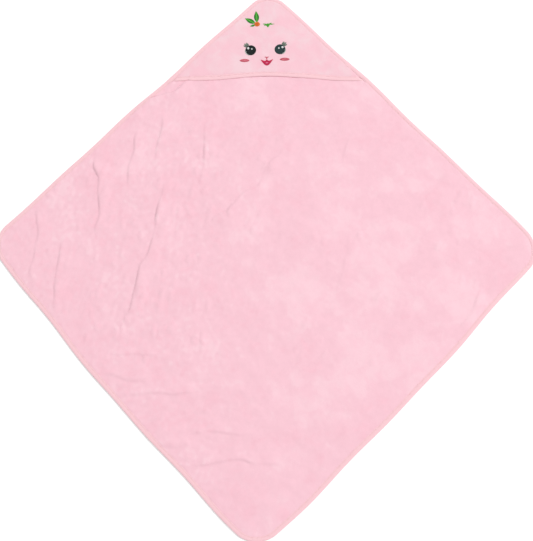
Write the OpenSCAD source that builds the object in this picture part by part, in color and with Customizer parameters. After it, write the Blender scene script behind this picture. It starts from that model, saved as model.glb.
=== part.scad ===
// Hooded baby towel, lying flat and face up with its hood corner towards +Y.
// The towel is one square of terry cloth. The hood is a second, triangular layer
// over one corner, held along both of its legs under the edge binding and open
// along its front, so that it makes a pocket for the head.

/* [Towel] */
// Side of the square towel
towel_side = 900; // [700:10:1200]
// Radius of the towel's four corners
corner_radius = 55; // [30:1:80]
// Thickness of the towel cloth, pile included
towel_thickness = 4; // [3:0.1:6]

/* [Binding] */
// Visible width of the binding tape on each face
binding_width = 11; // [8:0.5:16]
// Thickness of one layer of binding tape
tape_thickness = 0.8; // [0.4:0.1:1]
// Distance from the binding's outer fold to its line of stitches
stitch_inset = 8.5; // [6:0.1:9.5]
// Width of a line of stitches
thread_width = 0.6; // [0.4:0.1:1]
// Depth that the stitches press into the tape
thread_depth = 0.3; // [0.2:0.05:0.4]

/* [Hood] */
// Distance from the sharp corner of the square to the ends of the hood's front edge
hood_depth = 245; // [200:1:280]
// Distance that the front edge curves in towards the corner at its middle
hood_bow = 12; // [4:1:20]
// Thickness of the hood cloth
hood_thickness = 3; // [2.4:0.1:4]
// Angle at which the resting hood stands off the towel
hood_rest_angle = 2.6; // [2:0.1:4]
// Gap between the hood cloth and the pieces that it moves past
hood_clearance = 0.6; // [0.5:0.1:1.5]

/* [Embroidery] */
// Height that the satin stitches stand above the cloth
stitch_height = 0.8; // [0.4:0.1:1.2]
// Sideways place of the face's middle line
face_x = -5; // [-10:1:10]
// Distance from the sharp corner of the square down to the eyes
eye_drop = 164; // [155:1:175]
// Distance between the two eyes
eye_spacing = 72; // [60:1:90]
// Diameter of an eye
eye_diameter = 25; // [18:1:30]
// Diameter of the larger highlight in each eye
large_highlight = 5.4; // [4:0.2:8]
// Diameter of the smaller highlight in each eye
small_highlight = 3.6; // [2:0.2:5]
// Length of a lash
lash_length = 9; // [5:0.5:12]
// Width of a lash
lash_width = 2.8; // [1.5:0.1:3]
// Distance between the two cheeks
cheek_spacing = 96; // [80:1:110]
// Width of a cheek
cheek_width = 23; // [16:1:28]
// Height of a cheek
cheek_height = 8; // [5:1:10]
// Distance from the eyes down to the cheeks
cheek_drop = 26; // [22:1:30]
// Width of the open mouth
mouth_width = 29; // [20:1:36]
// Distance from the eyes down to the mouth's upper edge
mouth_drop = 25; // [24:1:30]
// Distance from the face's middle line right to the nose and mouth
mouth_shift = 3; // [-5:1:5]
// Width of the nose
nose_width = 10; // [7:1:12]
// Distance from the eyes down to the nose
nose_drop = 19; // [15:1:20]
// Length of the two large leaves
leaf_length = 30; // [20:1:32]
// Diameter of the berry between the leaves
berry_diameter = 13; // [8:1:14]
// Distance from the eyes up to the berry
berry_rise = 69; // [55:1:72]
// Distance from the face's middle line left to the berry
berry_shift = 21.5; // [15:0.5:26]
// Distance from the eyes up to the middle of the stabiliser
backing_rise = 18; // [10:1:25]
// Side of the square of stabiliser behind the embroidery
backing_side = 130; // [120:1:140]

/* [Hidden] */
$fn = 96;

cloth_colour = [0.99, 0.82, 0.86];
hood_colour = [0.97, 0.84, 0.87];
binding_colour = [0.98, 0.79, 0.81];
thread_colour = [0.99, 0.84, 0.85];
eye_colour = [0.10, 0.13, 0.15];
lash_colour = [0.35, 0.43, 0.40];
cheek_colour = [0.85, 0.45, 0.50];
mouth_colour = [0.80, 0.10, 0.34];
tongue_colour = [0.95, 0.50, 0.62];
leaf_colour = [0.22, 0.58, 0.20];
berry_colour = [0.94, 0.49, 0.16];

// Play between a cloth edge and the fold of the tape that holds it
fold_play = 0.2;
// Play between a line of stitches and the groove that it lies in
groove_play = 0.1;
// Cuts run this far past the solid that they cut
overcut = 1;
// Space between embroidered shapes that stand side by side
shape_gap = 0.6;

// The square's sharp corner, and the hood's front edge, measured along Y
corner_y = towel_side / sqrt(2);
front_end_y = corner_y - hood_depth;
front_mid_y = front_end_y + hood_bow;
front_radius = (hood_depth * hood_depth + hood_bow * hood_bow) / (2 * hood_bow);
front_fn = 1440;

// The hood turns about the top edge of its rounded tip
hood_inset = binding_width + hood_clearance;
round_tip_y = (towel_side - 2 * corner_radius) / sqrt(2) + corner_radius;
hinge_y = round_tip_y - hood_inset;
leg_top_z = towel_thickness + hood_clearance / 2 + hood_thickness;
hinge_z = leg_top_z;

// The embroidered face and leaves, measured in the hood's own plane
eye_y = corner_y - eye_drop;
cheek_y = eye_y - cheek_drop;
nose_y = eye_y - nose_drop;
mouth_y = eye_y - mouth_drop;
mouth_x = face_x + mouth_shift;
berry_x = face_x - berry_shift;
berry_y = eye_y + berry_rise;
backing_y = eye_y + backing_rise;
backing_thickness = 0.4;
backing_radius = 15;

// ---- plane shapes ----

module rounded_square(side, radius) {
    square([side, side - 2 * radius], center = true);
    square([side - 2 * radius, side], center = true);
    for (across = [-1, 1], along = [-1, 1])
        translate([across, along] * (side / 2 - radius)) circle(radius);
}

// The towel's outline, drawn in by an inset, with the hood corner towards +Y
module towel_outline(inset) {
    rotate(45) rounded_square(towel_side - 2 * inset, corner_radius - inset);
}

// The large round shape whose upper edge is the hood's front edge
module below_hood(inset) {
    translate([0, front_mid_y - front_radius])
        circle(front_radius + inset, $fn = front_fn);
}

// The corner under the hood, drawn in from the towel's edge and from the hood's front
module hood_outline(edge_inset, front_inset) {
    difference() {
        towel_outline(edge_inset);
        below_hood(front_inset);
    }
}

// A band that follows the towel's edge
module edge_band(inner, outer) {
    difference() {
        towel_outline(outer);
        towel_outline(inner);
    }
}

// A band that follows the hood's front edge and stops short of the edge binding
module front_band(outer, inner) {
    intersection() {
        hood_outline(hood_inset, outer);
        below_hood(inner);
    }
}

module stadium(width, height) {
    square([width - height, height], center = true);
    for (side = [-1, 1]) translate([side * (width - height) / 2, 0]) circle(height / 2);
}

// A leaf between two arcs, with its base at the origin and its tip on +X
module leaf_shape(length, width) {
    arc_radius = (length * length + width * width) / (4 * width);
    intersection_for (side = [-1, 1])
        translate([length / 2, side * (arc_radius - width / 2)]) circle(arc_radius);
}

// ---- solid helpers ----

module layer(bottom, top) {
    translate([0, 0, bottom]) linear_extrude(top - bottom) children();
}

// Puts a shape drawn in the hood's flat plane where the resting hood lies
module on_hood() {
    translate([0, hinge_y, hinge_z]) rotate([-hood_rest_angle, 0, 0])
        translate([0, -hinge_y, -hood_thickness]) children();
}

// A patch of satin stitches on the hood's outer face
module stitches(x, y, turn = 0, base = 0) {
    on_hood() translate([x, y, hood_thickness + base]) rotate(turn)
        linear_extrude(stitch_height) children();
}

// ---- the towel ----

module towel_panel() {
    color(cloth_colour) {
        layer(0, towel_thickness) towel_outline(binding_width + fold_play);
        layer(tape_thickness, towel_thickness - tape_thickness)
            towel_outline(tape_thickness + fold_play);
    }
}

module edge_binding() {
    groove = thread_width + groove_play;
    color(binding_colour) difference() {
        union() {
            layer(0, towel_thickness) edge_band(binding_width, 0);
            layer(0, leg_top_z) difference() {
                edge_band(binding_width, 0);
                below_hood(0);
            }
        }
        layer(tape_thickness, towel_thickness - tape_thickness)
            towel_outline(tape_thickness);
        layer(-overcut, thread_depth)
            edge_band(stitch_inset + groove / 2, stitch_inset - groove / 2);
        layer(towel_thickness - thread_depth, towel_thickness + overcut) intersection() {
            edge_band(stitch_inset + groove / 2, stitch_inset - groove / 2);
            below_hood(0);
        }
        layer(leg_top_z - thread_depth, leg_top_z + overcut)
            edge_band(stitch_inset + groove / 2, stitch_inset - groove / 2);
    }
}

module edge_thread_band() {
    edge_band(stitch_inset + thread_width / 2, stitch_inset - thread_width / 2);
}

module edge_needle_thread() {
    color(thread_colour) {
        layer(towel_thickness - thread_depth, towel_thickness) intersection() {
            edge_thread_band();
            below_hood(-groove_play);
        }
        layer(leg_top_z - thread_depth, leg_top_z) difference() {
            edge_thread_band();
            below_hood(groove_play);
        }
    }
}

module edge_bobbin_thread() {
    color(thread_colour) layer(0, thread_depth) edge_thread_band();
}

// ---- the hood ----

module hood_panel() {
    color(hood_colour) on_hood() {
        layer(0, hood_thickness) hood_outline(hood_inset, binding_width + fold_play);
        layer(tape_thickness, hood_thickness - tape_thickness)
            hood_outline(hood_inset, tape_thickness + fold_play);
    }
}

module hood_binding() {
    groove = thread_width + groove_play;
    color(binding_colour) on_hood() difference() {
        layer(0, hood_thickness) front_band(0, binding_width);
        layer(tape_thickness, hood_thickness - tape_thickness)
            hood_outline(0, tape_thickness);
        for (level = [-overcut, hood_thickness - thread_depth])
            layer(level, level + overcut + thread_depth)
                front_band(stitch_inset - groove / 2, stitch_inset + groove / 2);
    }
}

module hood_thread_band() {
    front_band(stitch_inset - thread_width / 2, stitch_inset + thread_width / 2);
}

module hood_needle_thread() {
    color(thread_colour) on_hood()
        layer(hood_thickness - thread_depth, hood_thickness) hood_thread_band();
}

module hood_bobbin_thread() {
    color(thread_colour) on_hood() layer(0, thread_depth) hood_thread_band();
}

// The stabiliser behind the embroidery lies against the hood's inner face
module embroidery_backing() {
    color("white") on_hood() translate([face_x, backing_y, -backing_thickness])
        linear_extrude(backing_thickness) rounded_square(backing_side, backing_radius);
}

// ---- the embroidered face ----

module eye(side) {
    color(eye_colour) stitches(face_x + side * eye_spacing / 2, eye_y) circle(d = eye_diameter);
}

// Both eyes catch the light on the side away from the nose
module eye_highlights(side) {
    large_place = [side * 6, 5];
    small_place = [side * -2.8, 2.8];
    color("white")
        stitches(face_x + side * eye_spacing / 2, eye_y, base = stitch_height) {
            translate(large_place) circle(d = large_highlight);
            translate(small_place) circle(d = small_highlight);
        }
}

// Three short lashes stand out of each eye's upper outer edge
module lashes(side) {
    lash_turns = [40, 54, 68];
    color(lash_colour) for (turn = lash_turns)
        stitches(face_x + side * eye_spacing / 2, eye_y, turn = side > 0 ? turn : 180 - turn)
            translate([(eye_diameter + lash_length) / 2 + shape_gap, 0])
                stadium(lash_length, lash_width);
}

module cheek(side) {
    color(cheek_colour) stitches(face_x + side * cheek_spacing / 2, cheek_y)
        stadium(cheek_width, cheek_height);
}

module left_eye() { eye(-1); }
module right_eye() { eye(1); }
module left_eye_highlights() { eye_highlights(-1); }
module right_eye_highlights() { eye_highlights(1); }
module left_lashes() { lashes(-1); }
module right_lashes() { lashes(1); }
module left_cheek() { cheek(-1); }
module right_cheek() { cheek(1); }

// A short bar with a stem below it
module nose() {
    bar_height = 3.4;
    stem_width = 2.4;
    stem_length = 5;
    color(cheek_colour) stitches(mouth_x, nose_y) {
        stadium(nose_width, bar_height);
        translate([0, -stem_length / 2]) square([stem_width, stem_length], center = true);
    }
}

module mouth() {
    color(mouth_colour) stitches(mouth_x, mouth_y) intersection() {
        circle(d = mouth_width);
        translate([0, -mouth_width / 2]) square(mouth_width, center = true);
    }
}

module tongue() {
    tongue_drop = 9;
    tongue_width = 12;
    tongue_height = 6;
    color(tongue_colour) stitches(mouth_x, mouth_y - tongue_drop, base = stitch_height)
        stadium(tongue_width, tongue_height);
}

// ---- the embroidered leaves ----

// A leaf that points away from the berry
module leaf(turn, length, width) {
    color(leaf_colour) stitches(berry_x, berry_y, turn = turn)
        translate([berry_diameter / 2 + shape_gap, 0]) leaf_shape(length, width);
}

module upper_leaf() { leaf(95, leaf_length, 12); }
module side_leaf() { leaf(152, leaf_length, 10); }
module lower_leaf() { leaf(196, 12.5, 5); }

module berry() {
    color(berry_colour) stitches(berry_x, berry_y) circle(d = berry_diameter);
}

// A small sprig: two pairs of leaflets on either side of a bud
module sprig() {
    bud_width = 6;
    sprig_shift = [26, -3];
    leaflet_start = 3.5;
    color(leaf_colour) stitches(berry_x + sprig_shift[0], berry_y + sprig_shift[1]) {
        rotate(45) square(bud_width, center = true);
        for (side = [0, 180]) rotate(side) translate([leaflet_start, 0]) {
            rotate(14) leaf_shape(11, 3.4);
            rotate(-22) leaf_shape(8, 2.8);
        }
    }
}

towel_panel();
edge_binding();
edge_needle_thread();
edge_bobbin_thread();
hood_panel();
hood_binding();
hood_needle_thread();
hood_bobbin_thread();
embroidery_backing();
left_eye();
left_eye_highlights();
left_lashes();
right_eye();
right_eye_highlights();
right_lashes();
left_cheek();
right_cheek();
nose();
mouth();
tongue();
upper_leaf();
side_leaf();
lower_leaf();
berry();
sprig();
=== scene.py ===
"""A hooded baby towel laid out flat and face up, with its hood at the far corner.

Every piece is first made in cut coordinates: x and y say where a point lies on the flat
square of cloth, and h how far it stands above the cloth's underside. lay() then puts it
where the towel really lies, on its creases and slightly pulled on the bias.
"""

import math

import bmesh
import bpy
import numpy as np
from mathutils import Matrix, Vector


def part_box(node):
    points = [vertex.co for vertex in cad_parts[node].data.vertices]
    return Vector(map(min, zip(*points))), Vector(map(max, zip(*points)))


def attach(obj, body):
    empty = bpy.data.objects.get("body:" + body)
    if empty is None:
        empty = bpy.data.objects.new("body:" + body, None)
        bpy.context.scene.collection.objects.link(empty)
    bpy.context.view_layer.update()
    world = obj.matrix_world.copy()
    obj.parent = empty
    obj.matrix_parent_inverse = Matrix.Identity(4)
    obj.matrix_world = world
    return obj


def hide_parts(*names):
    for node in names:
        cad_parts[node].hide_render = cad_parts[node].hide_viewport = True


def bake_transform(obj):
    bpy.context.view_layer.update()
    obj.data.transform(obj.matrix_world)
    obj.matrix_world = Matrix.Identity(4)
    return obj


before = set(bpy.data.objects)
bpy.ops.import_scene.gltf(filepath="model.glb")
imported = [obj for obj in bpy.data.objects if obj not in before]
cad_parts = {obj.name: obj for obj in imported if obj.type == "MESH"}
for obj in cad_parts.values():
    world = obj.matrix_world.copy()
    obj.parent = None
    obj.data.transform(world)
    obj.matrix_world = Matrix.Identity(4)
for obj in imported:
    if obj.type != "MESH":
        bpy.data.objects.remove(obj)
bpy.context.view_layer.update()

MM = 0.001
ROOT_HALF = math.sqrt(0.5)

# ---- sizes, in metres ----

CORNER_RADIUS = 55 * MM
TIP_DISTANCE = float(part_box("edge_binding")[1][0])
SIDE = (TIP_DISTANCE - CORNER_RADIUS) / ROOT_HALF + 2 * CORNER_RADIUS
SHARP_CORNER = SIDE * ROOT_HALF
TOWEL_THICKNESS = float(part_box("towel_panel")[1][2])

TAPE_WIDTH = 11 * MM
TAPE_THICKNESS = 0.8 * MM
STITCH_INSET = 8.5 * MM
STITCH_PITCH = 3 * MM
TOWEL_RIM = 2 * MM
HOOD_RIM = 1.0 * MM
HOOD_TAPE_HEIGHT = 2 * TAPE_THICKNESS + HOOD_RIM
# The same where the tape's ends are pressed flat inside the edge tape
HOOD_TAPE_PRESSED = 1.0 * MM

HOOD_DEPTH = 245 * MM
HOOD_BOW = 12 * MM
HOOD_THICKNESS = 2.2 * MM
HOOD_FRONT_RADIUS = (HOOD_DEPTH**2 + HOOD_BOW**2) / (2 * HOOD_BOW)
HOOD_FRONT_MID = SHARP_CORNER - HOOD_DEPTH + HOOD_BOW
# How far the middle of the hood's front edge stands off the towel
HOOD_REST_LOFT = 0.2 * MM
# How far the hood's weight presses the pile down
HOOD_PRESS = 1.2 * MM
# How much further it is pressed well behind the front, where the embroidery's backing lies
BACKING_PRESS = 0.35 * MM

# How the cloth lies: a square pulled a little longer towards the hood and away from it
PULL_ACROSS = 0.984
PULL_ALONG = 1.019
# How far the middle of each side bows out: upper right, upper left, lower left, lower right
SIDE_BOWS = (5 * MM, 3.5 * MM, 16 * MM, 11 * MM)
# How far each side wanders in and out, how long its waves are, and how far in they reach
SIDE_WANDER = 1.2 * MM
WANDER_LENGTHS = (230 * MM, 390 * MM)
WAVE_REACH = 70 * MM


# ---- small helpers ----


def smooth_step(value, start, end):
    """0 up to start, 1 from end, and smooth between them."""
    t = np.clip((value - start) / (end - start), 0, 1)
    return t * t * (3 - 2 * t)


def waves(x, y, wavelength, seed, count=28):
    """Smooth random hills about wavelength across, with a mean height of 0 and a spread of 1."""
    rng = np.random.default_rng(seed)
    total = np.zeros_like(x)
    for _ in range(count):
        angle = rng.uniform(0, 2 * math.pi)
        k = 2 * math.pi / (wavelength * rng.uniform(0.75, 1.6))
        phase = rng.uniform(0, 2 * math.pi)
        total += np.cos(k * (x * math.cos(angle) + y * math.sin(angle)) + phase)
    return total * math.sqrt(2 / count)


def from_square(u, v):
    """From the square's own axes, each square to two sides, to x and y."""
    return (u - v) * ROOT_HALF, (u + v) * ROOT_HALF


def to_square(x, y):
    return (x + y) * ROOT_HALF, (y - x) * ROOT_HALF


def inset(x, y):
    """How far a point is inside the towel's rounded outline."""
    u, v = to_square(x, y)
    qu = np.abs(u) - (SIDE / 2 - CORNER_RADIUS)
    qv = np.abs(v) - (SIDE / 2 - CORNER_RADIUS)
    outside = np.hypot(np.maximum(qu, 0), np.maximum(qv, 0))
    return CORNER_RADIUS - outside - np.minimum(np.maximum(qu, qv), 0)


def behind_front(x, y):
    """How far a point is behind the hood's front edge, towards the hood's tip."""
    return np.hypot(x, y - HOOD_FRONT_MID + HOOD_FRONT_RADIUS) - HOOD_FRONT_RADIUS


def arch(x, y):
    """How much of the hood's arch a point has: 1 along the middle and 0 along both sewn legs."""
    depth = SHARP_CORNER - y
    legs_inside = np.maximum(depth * ROOT_HALF - TAPE_WIDTH, MM)
    nearest_leg = (depth - np.abs(x)) * ROOT_HALF - TAPE_WIDTH
    across = np.clip(1 - nearest_leg / legs_inside, 0, 1)
    return (1 + np.cos(math.pi * across)) / 2 * smooth_step(depth, 30 * MM, 70 * MM)


# ---- how the towel lies ----

# Each crease is a gentle arc: where it starts, across and along; the way it starts, and how
# far it turns by its end; its length and height; and the width of its gentle flank. The
# steep flank is on the right hand. In millimetres and degrees.
CREASES = [
    # the long folds on the left, which run away from the hood
    (-230, 160, -95, -15, 360, 4.8, 24),
    (-410, 240, -70, -25, 240, 4.2, 22),
    (-240, 310, -100, 5, 120, 3.0, 18),
    (-290, 280, -105, 10, 160, 3.4, 20),
    (-140, 310, -90, -5, 160, 2.2, 20),
    (-450, 30, -95, 0, 180, 3.4, 20),
    (-520, 110, -90, 5, 200, 2.8, 18),
    # one that slants from the hood's front towards the left corner
    (50, 240, -120, -25, 300, 3.0, 24),
    # short level ones at the lower left
    (-330, -230, 0, 0, 110, 2.4, 14),
    (-340, -270, -15, 5, 120, 2.8, 14),
    (-300, -310, -5, 5, 180, 2.6, 16),
    (-150, -390, -5, 5, 140, 2.2, 16),
    (-160, -450, 0, 0, 220, 3.0, 18),
    (-210, -420, 0, 0, 60, 2.4, 10),
    # faint ones on the right
    (210, 280, -105, -10, 100, 1.2, 20),
    (200, 10, -105, -10, 120, 1.0, 24),
    (70, -200, 40, -10, 80, 2.0, 14),
    (490, -80, -115, -15, 130, 2.0, 12),
    # the fold beside the left end of the hood's front
    (-174, 402, -152, 10, 200, 10, 14),
]
STEEP_FLANK = 3.2
# How far a crease wanders to both sides of its arc
CREASE_WANDER = 5
# Fine wrinkles, strewn over parts of the cloth: how many, the middle and half size of the
# part, and the angle they run at, with its spread. In millimetres and degrees.
WRINKLES = [
    (70, (-330, 60), (190, 210), 76, 16),
    (60, (-90, 130), (150, 170), 56, 18),
    (30, (-230, -180), (150, 80), 82, 14),
    (34, (-150, -370), (150, 110), 4, 10),
    (24, (180, -90), (110, 160), 48, 20),
    (14, (420, 20), (100, 110), 60, 20),
]
CREASE_HEIGHT = 0.62
# The pile parts along a crease's foot, this deep and this wide
PARTING_DEPTH = 0.14
PARTING_WIDTH = 2.2 * MM


def laid_creases():
    """Every crease as its points, its height and the widths of its two flanks."""
    rng = np.random.default_rng(71)
    result = []
    for across, along, heading, turn, length, height, gentle in CREASES:
        t = np.linspace(0, 1, max(3, round(length / 30)) + 1)
        angle = np.radians(heading + turn * t)
        way = np.stack([np.cos(angle), np.sin(angle)], 1)
        steps = (way[1:] + way[:-1]) / 2 * length * t[1]
        points = np.vstack([[0, 0], np.cumsum(steps, axis=0)]) + (across, along)
        wander = CREASE_WANDER * min(1, length / 150) * rng.normal(size=len(t))
        points += np.stack([-way[:, 1], way[:, 0]], 1) * wander[:, None]
        result.append((points, height, STEEP_FLANK, gentle))
    return result


def strewn_wrinkles():
    """The fine wrinkles in the same form as the creases, the same ones every time."""
    rng = np.random.default_rng(61)
    result = []
    for count, middle, size, degrees, spread in WRINKLES:
        for _ in range(count):
            place = np.array(middle) + rng.uniform(-1, 1, 2) * size
            angle = math.radians(degrees + rng.normal() * spread)
            half = rng.uniform(7, 20)
            way = np.array([-math.cos(angle), -math.sin(angle)]) * half
            sideways = np.array([way[1], -way[0]]) * rng.uniform(-0.25, 0.25)
            points = [place - way, place + sideways, place + way]
            result.append((points, rng.uniform(0.9, 2.2), 2.4, rng.uniform(4, 8)))
    return result


def smooth_curve(points, steps):
    """A smooth curve through all the points but the first and the last, short of its end."""
    p = np.array(points, float)
    t = np.linspace(0, 1, steps, endpoint=False)[:, None]
    pieces = []
    for a, b, c, d in zip(p[:-3], p[1:-2], p[2:-1], p[3:]):
        pieces.append(
            b + (c - a) / 2 * t + (a - 2.5 * b + 2 * c - d / 2) * t**2
            + (1.5 * (b - c) + (d - a) / 2) * t**3
        )
    return np.vstack(pieces)


def smooth_path(points, steps=10):
    """A smooth curve through the points."""
    return np.vstack([smooth_curve([points[0], *points, points[-1]], steps), points[-1]])


def near_crease(x, y, points, reach):
    """The points near a crease: which, how far off, on which side and how far along it."""
    path = smooth_path(points) * MM
    low, high = path.min(0) - reach, path.max(0) + reach
    near = (x > low[0]) & (x < high[0]) & (y > low[1]) & (y < high[1])
    px, py = x[near], y[near]
    best, side, along = np.full(px.shape, 1.0), np.zeros(px.shape), np.zeros(px.shape)
    away_x, away_y = np.zeros(px.shape), np.zeros(px.shape)
    count = len(path) - 1
    for i in range(count):
        ax, ay = path[i]
        dx, dy = path[i + 1] - path[i]
        t = np.clip(((px - ax) * dx + (py - ay) * dy) / (dx * dx + dy * dy), 0, 1)
        ex, ey = px - ax - t * dx, py - ay - t * dy
        distance = np.hypot(ex, ey)
        closer = distance < best
        best = np.where(closer, distance, best)
        side = np.where(closer, dx * ey - dy * ex, side)
        along = np.where(closer, (i + t) / count, along)
        away_x, away_y = np.where(closer, ex, away_x), np.where(closer, ey, away_y)
    ends = smooth_step(along, 0, 0.25) * smooth_step(1 - along, 0, 0.25)
    return near, best * np.where(side > 0, 1, -1), ends, away_x, away_y


def crease_height(x, y, points, height, steep, gentle):
    """One soft crease: a ridge along a curve, steep on one flank, that dies out at both ends."""
    near, off, ends, _, _ = near_crease(x, y, points, 3 * gentle * MM)
    width = np.where(off > 0, gentle, steep) * MM
    uneven = 1 + 0.3 * waves(x[near], y[near], 45 * MM, 62, 12)
    result = np.zeros_like(x)
    result[near] = CREASE_HEIGHT * height * MM * ends * uneven * np.exp(-((off / width) ** 2))
    return result


def parting(x, y):
    """How deep the pile is parted, along the foot of every crease's steep flank."""
    result = np.zeros_like(x)
    for points, height, steep, _ in CREASE_SHAPES:
        near, off, ends, _, _ = near_crease(x, y, points, 12 * MM)
        foot = (off + 1.3 * steep * MM) / PARTING_WIDTH
        result[near] += PARTING_DEPTH * height * MM * ends * np.exp(-(foot**2))
    return result


def gather_to_creases(x, y):
    """Draws a mesh's points towards the creases, so that it can follow their narrow shapes."""
    reach = 11 * MM
    moved_x, moved_y = x.copy(), y.copy()
    inside = smooth_step(inset(x, y), 18 * MM, 45 * MM)
    for points, _, _, _ in CREASE_SHAPES:
        near, off, ends, away_x, away_y = near_crease(x, y, points, 3 * reach)
        draw = 0.6 * smooth_step(ends, 0, 0.2) * np.exp(-((off / reach) ** 2)) * inside[near]
        moved_x[near] -= draw * away_x
        moved_y[near] -= draw * away_y
    return moved_x, moved_y


CREASE_SHAPES = laid_creases()


def resting_height(x, y):
    """The height of the cloth's underside above the floor."""
    rise = 0.7 * MM + 0.4 * MM * waves(x, y, 190 * MM, 1) + 0.2 * MM * waves(x, y, 60 * MM, 2)
    rise = np.maximum(rise, 0)
    for crease in CREASE_SHAPES + strewn_wrinkles():
        rise += crease_height(x, y, *crease)
    edge = inset(x, y)
    return rise * (0.35 + 0.65 * smooth_step(edge, 0, 35 * MM))


def side_bow(u, v):
    """How far the cloth is moved outwards along u and v by the bows of its four sides."""
    plus_u, plus_v, minus_u, minus_v = SIDE_BOWS
    a, b = 2 * u / SIDE, 2 * v / SIDE
    move_u = (1 - b * b) * (plus_u * (1 + a) ** 2 - minus_u * (1 - a) ** 2) / 4
    move_v = (1 - a * a) * (plus_v * (1 + b) ** 2 - minus_v * (1 - b) ** 2) / 4
    return move_u, move_v


def side_waves(u, v):
    """The same for each side's small random waves, which fade out inside the cloth."""
    rng = np.random.default_rng(72)
    moves = []
    for outward, walk in ((u, v), (v, -u), (-u, -v), (-v, u)):
        wave = sum(
            np.sin(2 * np.pi * (walk / length + rng.random())) for length in WANDER_LENGTHS
        )
        inside = (SIDE / 2 - outward) / WAVE_REACH
        moves.append(SIDE_WANDER * wave * np.exp(-(inside**2)))
    return moves[0] - moves[2], moves[1] - moves[3]


def lattice(count=601):
    """The lying cloth's positions and normals at an even lattice of the square."""
    ticks = np.linspace(-SIDE / 2, SIDE / 2, count)
    u, v = np.meshgrid(ticks, ticks, indexing="ij")
    x, y = from_square(u, v)
    bow_x, bow_y = from_square(*np.add(side_bow(u, v), side_waves(u, v)))
    place = np.stack(
        [x * PULL_ACROSS + bow_x, y * PULL_ALONG + bow_y, resting_height(x, y)], axis=-1
    )
    du = np.gradient(place, axis=0)
    dv = np.gradient(place, axis=1)
    normal = np.cross(du, dv)
    normal /= np.linalg.norm(normal, axis=-1, keepdims=True)
    return place, normal


PLACES, NORMALS = lattice()


def cubic_weights(t):
    """Catmull-Rom weights of the four lattice lines around a point."""
    return (
        ((-t + 2) * t - 1) * t / 2,
        ((3 * t - 5) * t * t + 2) / 2,
        ((-3 * t + 4) * t + 1) * t / 2,
        (t - 1) * t * t / 2,
    )


def interpolate(table, x, y):
    count = table.shape[0]
    u, v = to_square(x, y)
    gu = np.clip((u / SIDE + 0.5) * (count - 1), 0, count - 1.001)
    gv = np.clip((v / SIDE + 0.5) * (count - 1), 0, count - 1.001)
    iu, iv = gu.astype(int), gv.astype(int)
    wu, wv = cubic_weights(gu - iu), cubic_weights(gv - iv)
    total = 0
    for a in range(4):
        for b in range(4):
            ia = np.clip(iu + a - 1, 0, count - 1)
            ib = np.clip(iv + b - 1, 0, count - 1)
            total = total + (wu[a] * wv[b])[:, None] * table[ia, ib]
    return total


def lay(points):
    """Cut coordinates (x, y, h) to where the towel lies."""
    p = np.asarray(points, float).reshape(-1, 3)
    normal = interpolate(NORMALS, p[:, 0], p[:, 1])
    normal /= np.linalg.norm(normal, axis=1, keepdims=True)
    return interpolate(PLACES, p[:, 0], p[:, 1]) + normal * p[:, 2:3]


# Where the hood's front edge lies slack, in millimetres: how far to the right, the half width
# of the stretch, and how far forwards, or back where it is drawn in
HOOD_SLACK = [(-130, 70, 5.5), (170, 60, 3.5), (0, 60, -2)]


def lay_hood(points):
    """The same for the hood's pieces, whose front edge is slack on both sides."""
    p = np.array(points, float).reshape(-1, 3)
    behind = smooth_step(behind_front(p[:, 0], p[:, 1]), 0, 45 * MM)
    for across, reach, slack in HOOD_SLACK:
        off = (p[:, 0] / MM - across) / reach
        p[:, 1] -= slack * MM * np.exp(-(off**2)) * (1 - behind)
    return lay(p)


# ---- the layers of cloth, as heights above the towel's underside ----


def towel_under(x, y):
    """The rim lies on the lower lip of the tape, and the field on the floor."""
    return TAPE_THICKNESS * (1 - smooth_step(inset(x, y), TAPE_WIDTH, TAPE_WIDTH + 6 * MM))


def pile_clumps(x, y):
    """The pile's clumps, and fine wrinkles where the towel has been creased, to the left."""
    clumps = 0.07 * MM * waves(x, y, 13 * MM, 11, 40) + 0.13 * MM * waves(x, y, 28 * MM, 12)
    wrinkles = waves(x * 2.2 - y * 0.9, y * 0.5 + x * 0.2, 26 * MM, 13, 40)
    wrinkled = smooth_step(-x, -60 * MM, 330 * MM) * smooth_step(y, -330 * MM, -120 * MM)
    level = waves(x * 0.3, y * 1.8, 26 * MM, 14, 40)
    low = smooth_step(-x, -80 * MM, 120 * MM) * smooth_step(-y, 120 * MM, 300 * MM)
    calm = 1 - 0.4 * smooth_step(x, 0, 300 * MM)
    return calm * clumps + 0.13 * MM * (wrinkled * wrinkles + low * level)


# The broad area where most of the pile is brushed up and looks paler, which is also painted
# light, brighter towards the right: its middle and its half widths, in millimetres
BRUSHED_AND_LIT_MIDDLE = (250, -110)
BRUSHED_AND_LIT_REACH = (270, 320)


def brushed_pile_and_light(x, y):
    """From -1 where the pile lies down to 1 where it is brushed up; its broad patch on the right is
    also painted light, brighter there.
    """
    away_x = (x / MM - BRUSHED_AND_LIT_MIDDLE[0]) / BRUSHED_AND_LIT_REACH[0]
    away_y = (y / MM - BRUSHED_AND_LIT_MIDDLE[1]) / BRUSHED_AND_LIT_REACH[1]
    broad = 1.1 * np.exp(-(away_x**2) - away_y**2) - 0.4
    to_left = smooth_step(-x, -40 * MM, 200 * MM)
    patches = (0.6 - 0.15 * to_left) * waves(x, y, 150 * MM, 51)
    patches += 0.35 * waves(x, y, 55 * MM, 52, 40)
    specks = (0.12 + 0.3 * to_left) * waves(x, y, 15 * MM, 53, 50)
    return np.tanh(1.3 * (broad + patches + specks))


def pile_swell(x, y):
    """How far the pile has swollen back to its full height, beside the edge tape."""
    return smooth_step(inset(x, y), TAPE_WIDTH - 1.6 * MM, TAPE_WIDTH + 0.6 * MM)


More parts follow.
